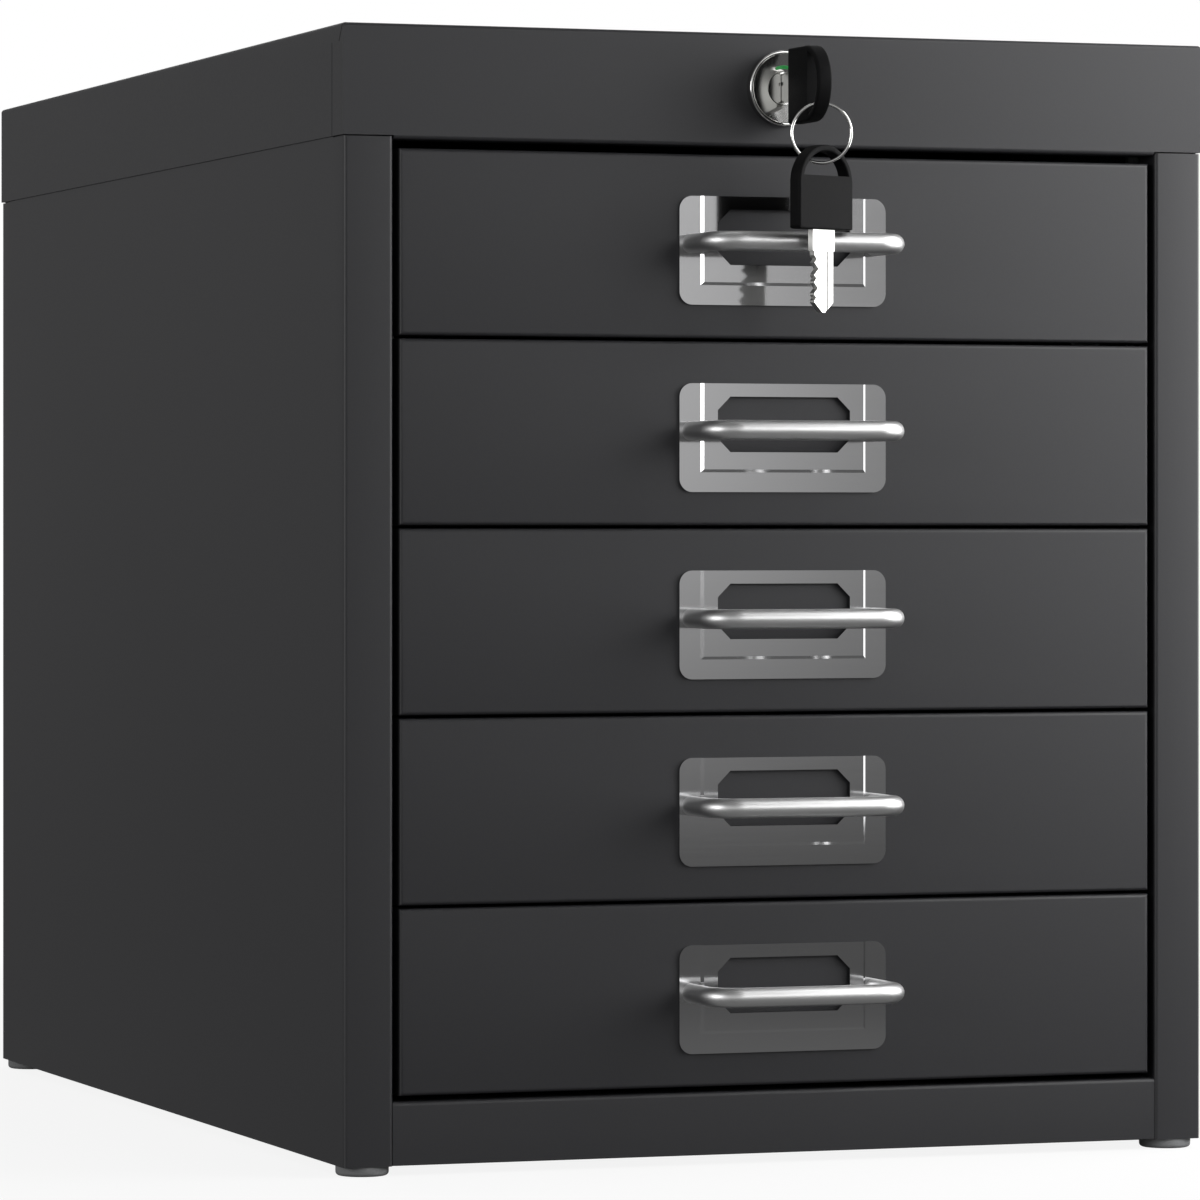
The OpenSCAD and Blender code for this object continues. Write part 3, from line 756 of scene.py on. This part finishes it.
@dataclass
class Lock:
    """The cam lock: a dished bright flange with two marks, the plug and its keyway, and the parts behind."""

    dresser: CadDresser
    steps: int = 96
    plug_r: float = 5.0
    plug_gap: float = 0.03
    body_r: float = 9.5
    dish_floor: float = 1.2
    floor_edge: float = 0.12
    rim_w: float = 1.1
    rim_round: float = 0.45
    rim_inner_round: float = 0.25
    rim_step: float = 0.8
    mark_r: float = 6.5
    mark_w: float = 1.05
    mark_h: float = 0.12
    mark_sink: float = 0.1
    mark_half_angle: float = 27.0
    mark_steps: int = 20
    mark_end_w: float = 0.1414
    mark_end_power: int = 8
    centre: Vector = field(init=False)
    face_y: float = field(init=False)
    flange_r: float = field(init=False)
    flange_out: float = field(init=False)

    def __post_init__(self) -> None:
        """Take the lock's place and size from its CAD nodes."""
        low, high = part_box("lock_housing")
        self.flange_r = (high.x - low.x) / 2 / MM
        self.centre = (low + high) / 2
        self.face_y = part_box("lid")[0].y
        self.flange_out = (self.face_y - low.y) / MM

    def placed(self, mesh: bpy.types.Mesh, turn: float = 0.0) -> bpy.types.Mesh:
        """Carry a mesh from the lock's own axes, Z outwards and Y up, to the frame.

        Args:
            mesh: The mesh.
            turn: Degrees to turn it clockwise first, seen from the front.

        Returns:
            The same mesh.
        """
        spot = Matrix.Translation((self.centre.x, self.face_y, self.centre.z))
        upright = Matrix.Rotation(math.pi / 2, 4, "X")
        mesh.transform(spot @ upright @ Matrix.Rotation(-math.radians(turn), 4, "Z"))
        return mesh

    def dish_height(self, radius: float) -> float:
        """Return how far the dish stands out at a radius, both in millimetres."""
        inner = self.flange_r - self.rim_w
        share = (radius - self.plug_r) / (inner - self.plug_r)
        return self.dish_floor + share * (self.flange_out - self.rim_step - self.dish_floor)

    def build(self) -> None:
        """Dress the lock's nodes and draw its flange and marks."""
        for node, finish in (
            ("lock_plug", BRIGHT_NICKEL),
            ("lock_nut", ZINC),
            ("lock_cam", ZINC),
            ("lock_bar", ZINC),
            ("bar_guides", ZINC),
            ("cam_screw", SCREW_STEEL),
        ):
            self.dresser.dress(node, finish)
        self.draw_flange()
        self.draw_mark("lock_mark_open", 0, GREEN_MARK)
        self.draw_mark("lock_mark_shut", 90, RED_MARK)

    def draw_flange(self) -> None:
        """Draw the housing with a rounded rim and a smooth dish."""
        r = self.flange_r
        out = self.flange_out
        inner = r - self.rim_w
        back = (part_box("lock_housing")[1].y - self.face_y) / MM
        bore = self.plug_r + self.plug_gap
        floor_r = self.plug_r + self.floor_edge
        outer_round, inner_round = self.rim_round, self.rim_inner_round
        outline = [(bore, -back), (self.body_r, -back), (self.body_r, 0.0), (r, 0.0)]
        outline += quarter_circle((r - outer_round, out - outer_round), outer_round, 0, 6)
        outline += quarter_circle((inner + inner_round, out - inner_round), inner_round, 90, 4)
        for share in (1.0, 0.75, 0.5, 0.25, 0.0):
            radius = floor_r + share * (inner - floor_r)
            outline.append((radius, self.dish_height(radius)))
        outline.append((bore, self.dish_floor - self.floor_edge))
        mesh = self.placed(lathe("lock_flange", outline, self.steps))
        smooth(mesh, 32)
        flange = new_piece("lock_flange", mesh, BRIGHT_NICKEL, "cabinet")
        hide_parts("lock_housing")

    def draw_mark(self, name: str, turn: float, finish: Finish) -> None:
        """Lay a curved enamel mark in the dish.

        Args:
            name: The piece's name.
            turn: Its place round the plug, in degrees clockwise from the top.
            finish: Its enamel.
        """
        form = bmesh.new()
        rows = []
        for step in range(self.mark_steps + 1):
            share = step / self.mark_steps * 2 - 1
            angle = math.radians(90 + share * self.mark_half_angle)
            full = math.sqrt(1 - abs(share) ** self.mark_end_power)
            half = self.mark_w / 2 * max(self.mark_end_w, full)
            row = []
            for radius in (self.mark_r - half, self.mark_r + half):
                for lift in (-self.mark_sink, self.mark_h):
                    z = self.dish_height(radius) + lift
                    place = Vector((radius * math.cos(angle), radius * math.sin(angle), z))
                    row.append(form.verts.new(place * MM))
            rows.append(row)
        for a, b in zip(rows, rows[1:]):
            for i, j in ((0, 1), (1, 3), (3, 2), (2, 0)):
                form.faces.new((a[i], a[j], b[j], b[i]))
        for end in (rows[0], rows[-1]):
            form.faces.new((end[0], end[1], end[3], end[2]))
        mesh = bpy.data.meshes.new(name)
        form.to_mesh(mesh)
        form.free()
        outward_faces(mesh)
        smooth(mesh, 40)
        new_piece(name, self.placed(mesh, turn), finish, "cabinet")


@dataclass
class Keys:
    """The key in the lock, the wire ring and the key that hangs from it."""

    dresser: CadDresser
    ring_turn: float = 21.5
    ring_steps: int = 120
    wire_d: float = 1.0
    wire_sides: int = 16

    def build(self) -> None:
        """Dress the keys and draw the ring."""
        for n in (1, 2):
            self.dresser.dress(f"key_{n}_bow", KEY_PLASTIC)
            self.dresser.dress(f"key_{n}_blade", KEY_NICKEL)
        self.draw_ring()

    def draw_ring(self) -> None:
        """Draw the ring's wire in the space of its CAD node."""
        tree, start = new_tree(
            "wire_ring",
            {
                "Radius": "NodeSocketFloat",
                "Wire": "NodeSocketFloat",
                "Material": "NodeSocketMaterial",
            },
        )
        path = add_node(
            tree,
            "GeometryNodeCurvePrimitiveCircle",
            inputs={"Resolution": self.ring_steps, "Radius": start.outputs["Radius"]},
        )
        section = add_node(
            tree,
            "GeometryNodeCurvePrimitiveCircle",
            inputs={"Resolution": self.wire_sides, "Radius": start.outputs["Wire"]},
        )
        wire = add_node(
            tree,
            "GeometryNodeCurveToMesh",
            inputs={"Curve": path.outputs["Curve"], "Profile Curve": section.outputs["Curve"]},
        )
        end_tree(tree, wire.outputs["Mesh"], start.outputs["Material"])
        low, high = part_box("key_ring")
        wire_d = self.wire_d * MM
        mesh = grow(
            "key_ring_wire",
            tree,
            {
                "Radius": (high.z - low.z - wire_d) / 2,
                "Wire": wire_d / 2,
                "Material": RING_STEEL.material(),
            },
        )
        stand = Matrix.Rotation(-math.radians(self.ring_turn), 4, "Z") @ Matrix.Rotation(math.pi / 2, 4, "X")
        mesh.transform(Matrix.Translation((low + high) / 2) @ stand)
        smooth(outward_faces(mesh), 60)
        ring = new_piece("key_ring_wire", mesh, RING_STEEL, "key_ring")
        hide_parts("key_ring")


# ---- Studio ----


class Ray(Enum):
    """The kinds of ray that the studio answers in their own way."""

    CAMERA = "Is Camera Ray"
    GLOSSY = "Is Glossy Ray"
    TRANSMISSION = "Is Transmission Ray"


@dataclass(frozen=True)
class Softbox:
    """A rectangular lamp that faces a point of the cabinet."""

    name: str
    place: Point
    width: float
    height: float
    watts: float
    target: Point = (0.0, 0.0, 0.17)

    def build(self) -> None:
        """Make the lamp."""
        lamp = bpy.data.lights.new(self.name, "AREA")
        lamp.shape = "RECTANGLE"
        lamp.size = self.width
        lamp.size_y = self.height
        lamp.energy = self.watts
        holder = bpy.data.objects.new(self.name, lamp)
        holder.location = self.place
        holder.rotation_euler = (Vector(self.target) - Vector(self.place)).to_track_quat("-Z", "Y").to_euler()
        holder.visible_camera = False
        bpy.context.scene.collection.objects.link(holder)


class Values:
    """Sums of numbers in a shader tree."""

    def __init__(self, tree: bpy.types.NodeTree) -> None:
        """Keep the tree that the sums join."""
        self.tree = tree
        self.path = add_node(tree, "ShaderNodeLightPath")

    def ray(self, kind: Ray) -> bpy.types.NodeSocket:
        """Return 1 for one kind of ray and 0 for the others."""
        return self.path.outputs[kind.value]

    def sum(self, operation: str, *terms: SocketValue) -> bpy.types.NodeSocket:
        """Return a Math node's result for its terms."""
        node = add_node(self.tree, "ShaderNodeMath", {"operation": operation}, dict(enumerate(terms)))
        return node.outputs[0]

    def step(self, value: SocketValue, start: float, end: float) -> bpy.types.NodeSocket:
        """Return 0 before a start and 1 past an end, with a smooth change between them."""
        node = add_node(
            self.tree,
            "ShaderNodeMapRange",
            {"interpolation_type": "SMOOTHSTEP"},
            {"Value": value, "From Min": start, "From Max": end},
        )
        return node.outputs["Result"]

    def mix(self, share: SocketValue, first: SocketValue, second: SocketValue) -> bpy.types.NodeSocket:
        """Return the first value where the share is 0 and the second where it is 1."""
        return self.sum("MULTIPLY_ADD", share, self.sum("SUBTRACT", second, first), first)


@dataclass(frozen=True)
class Studio:
    """A plain pale floor, soft lamps and the camera where the photographer stood.

    The eye sees white all round. What the metal mirrors is the studio itself, which is fixed in the
    room: a pale wall to the left of the front, a grey one to the right of it and behind, a dark
    ceiling and floor, and a painted pool of light on the floor near the cabinet, which only the metal
    sees. The levels run from 0, black, to 1, white, and the changes between them are smooth, between
    two angles in degrees.
    """

    camera_place: Point = (-0.694, -1.953, 0.1926)
    camera_yaw: float = 19.24
    focal_px: float = 6221.0
    frame_px: float = 1200.0
    centre_px: tuple[float, float] = (541.9, 530.8)
    sensor_mm: float = 36.0
    fill: float = 0.2
    pale_wall: float = 0.74
    grey_wall: float = 0.365
    back_wall: float = 0.36
    ceiling: float = 0.17
    dark_floor: float = 0.114
    # Painted pool of light: how brightly the floor near the cabinet glows in the metal's reflections.
    painted_light_pool: float = 0.16
    wall_change: tuple[float, float] = (20.3, 22.7)
    back_change: tuple[float, float] = (100.0, 135.0)
    horizon: tuple[float, float] = (-4.0, 1.9)
    ceiling_change: tuple[float, float] = (12.0, 35.0)
    painted_light_pool_edge: tuple[float, float] = (0.62, 0.82)
    floor_half: float = 2.2
    floor_white: float = 0.88
    paper_white: float = 0.9
    paper_bounce: float = 0.25
    lamps: tuple[Softbox, ...] = (
        Softbox("right_softbox", place=(0.45, -0.2, 0.36), width=0.72, height=0.6, watts=4.4),
        Softbox("front_softbox", place=(1.15, -1.2, 0.67), width=2.0, height=0.44, watts=7.8),
        Softbox("left_softbox", place=(-2.2, -0.8, 0.62), width=1.3, height=0.8, watts=13.5),
        Softbox("top_softbox", place=(0.0, 0.75, 2.2), width=1.4, height=1.4, watts=6.0),
        Softbox("rear_softbox", place=(0.55, 1.6, 0.7), width=1.2, height=0.8, watts=6.0),
    )

    def build(self) -> None:
        """Make the floor, the world, the lamps and the camera."""
        self.add_camera()
        self.add_floor()
        self.add_world()
        for lamp in self.lamps:
            lamp.build()
        bpy.context.scene.view_settings.view_transform = "Standard"

    def add_camera(self) -> None:
        """Stand the camera level, turned right, with the shift that frames the photograph."""
        lens = bpy.data.cameras.new("camera")
        lens.sensor_width = self.sensor_mm
        lens.lens = self.sensor_mm * self.focal_px / self.frame_px
        lens.shift_x = 0.5 - self.centre_px[0] / self.frame_px
        lens.shift_y = self.centre_px[1] / self.frame_px - 0.5
        camera = bpy.data.objects.new("camera", lens)
        camera.location = self.camera_place
        camera.rotation_euler = (math.pi / 2, 0.0, -math.radians(self.camera_yaw))
        bpy.context.scene.collection.objects.link(camera)
        bpy.context.scene.camera = camera

    def add_floor(self) -> None:
        """Lay the floor: white to the eye with the object's soft shadow, a painted pool of light near the
        cabinet that only the metal sees, and a paper that throws little light back up at the cabinet."""
        half = self.floor_half
        mesh = bpy.data.meshes.new("floor")
        corners = [(-half, -half, 0), (half, -half, 0), (half, half, 0), (-half, half, 0)]
        mesh.from_pydata(corners, [], [(0, 1, 2, 3)])
        floor = bpy.data.objects.new("floor", mesh)
        bpy.context.scene.collection.objects.link(floor)
        paper = bpy.data.materials.new("studio_paper")
        paper.use_nodes = True
        tree = paper.node_tree
        tree.nodes.clear()
        values = Values(tree)
        place = add_node(tree, "ShaderNodeTexCoord")
        reach = add_node(
            tree, "ShaderNodeVectorMath", {"operation": "LENGTH"}, {0: place.outputs["Object"]}
        )
        away = values.step(reach.outputs["Value"], *self.painted_light_pool_edge)
        glossy = values.ray(Ray.GLOSSY)
        eye = values.sum("MAXIMUM", values.ray(Ray.CAMERA), values.ray(Ray.TRANSMISSION))
        # Painted pool of light: glossy rays see the floor glow brighter near the cabinet than beyond it.
        strength = values.mix(glossy, 1.0, values.mix(away, self.painted_light_pool, self.dark_floor))
        seen = values.sum("MULTIPLY", eye, values.mix(away, self.floor_white, 1.0))
        share = values.sum("MAXIMUM", glossy, seen)
        paper_grey = values.mix(eye, self.paper_bounce, self.paper_white)
        matt = add_node(tree, "ShaderNodeBsdfDiffuse", inputs={"Color": paper_grey})
        white = add_node(
            tree, "ShaderNodeEmission", inputs={"Color": linear("#ffffff"), "Strength": strength}
        )
        mixed = add_node(
            tree,
            "ShaderNodeMixShader",
            inputs={0: share, 1: matt.outputs["BSDF"], 2: white.outputs["Emission"]},
        )
        add_node(tree, "ShaderNodeOutputMaterial", inputs={"Surface": mixed.outputs["Shader"]})
        mesh.materials.append(paper)

    def add_world(self) -> None:
        """Hang the white that the eye sees, the walls that the metal mirrors and an even fill."""
        world = bpy.data.worlds.new("studio")
        world.use_nodes = True
        tree = world.node_tree
        tree.nodes.clear()
        values = Values(tree)
        sky = add_node(tree, "ShaderNodeTexCoord")
        parts = add_node(tree, "ShaderNodeSeparateXYZ", inputs={"Vector": sky.outputs["Generated"]})
        ahead = values.sum("MULTIPLY", parts.outputs["Y"], -1.0)
        turn = values.sum("DEGREES", values.sum("ARCTAN2", parts.outputs["X"], ahead))
        rise = values.sum("DEGREES", values.sum("ARCSINE", parts.outputs["Z"]))
        wall = values.mix(values.step(turn, *self.wall_change), self.pale_wall, self.grey_wall)
        behind = values.step(values.sum("ABSOLUTE", turn), *self.back_change)
        wall = values.mix(behind, wall, self.back_wall)
        wall = values.mix(values.step(rise, *self.ceiling_change), wall, self.ceiling)
        studio = values.mix(values.step(rise, *self.horizon), self.dark_floor, wall)
        eye = values.sum("MAXIMUM", values.ray(Ray.CAMERA), values.ray(Ray.TRANSMISSION))
        level = values.mix(values.ray(Ray.GLOSSY), self.fill, studio)
        level = values.mix(eye, level, 1.0)
        light = add_node(tree, "ShaderNodeBackground", inputs={"Color": linear("#ffffff"), "Strength": level})
        add_node(tree, "ShaderNodeOutputWorld", inputs={"Surface": light.outputs["Background"]})
        bpy.context.scene.world = world


def main() -> None:
    """Build the studio and every sub-assembly in order."""
    logging.basicConfig(level=logging.INFO, format="%(name)s: %(message)s")
    Studio().build()
    dresser = CadDresser()
    Shell(dresser).build()
    handle_tree = Handle.tree()
    for number in DRAWERS:
        Drawer(number, dresser, handle_tree).build()
    Lock(dresser).build()
    Keys(dresser).build()


if __name__ == "__main__":
    main()
